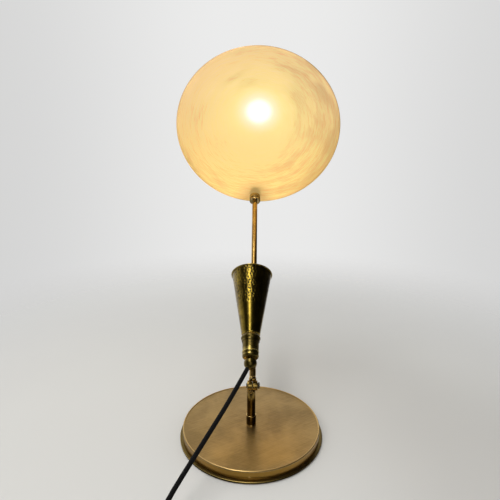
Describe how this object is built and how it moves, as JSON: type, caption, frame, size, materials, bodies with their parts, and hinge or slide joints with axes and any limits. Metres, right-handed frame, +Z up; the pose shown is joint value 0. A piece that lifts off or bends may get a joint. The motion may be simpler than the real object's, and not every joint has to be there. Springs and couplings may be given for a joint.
{
  "type": "reflector table lamp",
  "caption": "Table lamp whose hammered cone shines up a leaning rod onto a round brushed dish that throws the light back down.",
  "frame": {"origin": "centre of the base's underside, on the table", "axes": "+Z up; -Y is the front, which the dish's mirror face looks to; +X to the right; the rod leans back towards +Y"},
  "size_m": [0.3002, 0.688, 0.5857],
  "materials": {
    "felt": "matte",
    "base_brass": "satin",
    "base_steel": "satin",
    "cast_iron": "matte",
    "zinc_steel": "satin",
    "stem_brass": "satin",
    "knuckle_bronze": "satin",
    "dark_steel": "satin",
    "rod_brass": "satin",
    "holder_bronze": "satin",
    "hammered_bronze": "satin",
    "phenolic": "satin",
    "contact_brass": "polished",
    "bulb_metal": "satin",
    "bulb_glass": "satin",
    "tungsten": "satin",
    "copper": "satin",
    "cord_braid": "matte",
    "plug_black": "satin",
    "ring_bronze": "satin",
    "nylon": "satin",
    "ball_steel": "polished",
    "dish_gold": "satin"
  },
  "bodies": {
    "base": {"felt_pad": "felt", "base_flange": "base_steel", "flange_screws": "zinc_steel", "ballast": "cast_iron", "base_cover": "base_brass", "base_washer": "zinc_steel", "base_nut": "zinc_steel", "stem_nipple": "zinc_steel", "stem_ferrule": "stem_brass", "stem_tube": "stem_brass", "knuckle_lower": "knuckle_bronze", "knuckle_screw": "dark_steel", "knuckle_washer": "dark_steel", "knuckle_nut": "dark_steel", "cord_lead": "cord_braid", "cord_coil": "cord_braid", "cord_tail": "cord_braid", "plug_body": "plug_black", "plug_pins": "contact_brass"},
    "arm": {"knuckle_upper": "knuckle_bronze", "arm_rod": "rod_brass", "lamp_bracket": "holder_bronze", "bracket_screw": "dark_steel", "cord_ball": "holder_bronze", "cord_inner": "cord_braid", "core_wires": "copper", "holder_nipple": "zinc_steel", "holder_nut": "zinc_steel", "holder_cap": "holder_bronze", "holder_shell": "holder_bronze", "socket_insulator": "phenolic", "screw_shell": "contact_brass", "terminals": "zinc_steel", "centre_contact": "contact_brass", "shade_nut": "holder_bronze", "cone_shade": "hammered_bronze", "bulb_cap": "bulb_metal", "bulb_contact": "contact_brass", "bulb_glass": "bulb_glass", "bulb_filament": "tungsten", "swivel_socket": "ring_bronze", "swivel_cap": "ring_bronze"},
    "ball_seat": {"ball_seat": "nylon"},
    "reflector": {"swivel_ball": "ball_steel", "reflector_dish": "dish_gold", "back_washer": "ball_steel", "dome_nut": "ring_bronze"}
  },
  "joints": [
    {"name": "knuckle_tilt", "type": "hinge", "parent": "base", "child": "arm", "pos_m": [0.00195, 0, 0.085], "axis": [1, 0, 0], "range_deg": [-20, 60], "deforming": ["cord_lead"]},
    {"name": "reflector_swivel", "type": "hinge", "parent": "arm", "child": "ball_seat", "pos_m": [0.00195, 0.31147, 0.3113], "axis": [0, 0.809, 0.5878], "range_deg": [-90, 90]},
    {"name": "reflector_tilt", "type": "hinge", "parent": "ball_seat", "child": "reflector", "pos_m": [0.00195, 0.31147, 0.3113], "axis": [1, 0, 0], "range_deg": [-9, 70]}
  ]
}
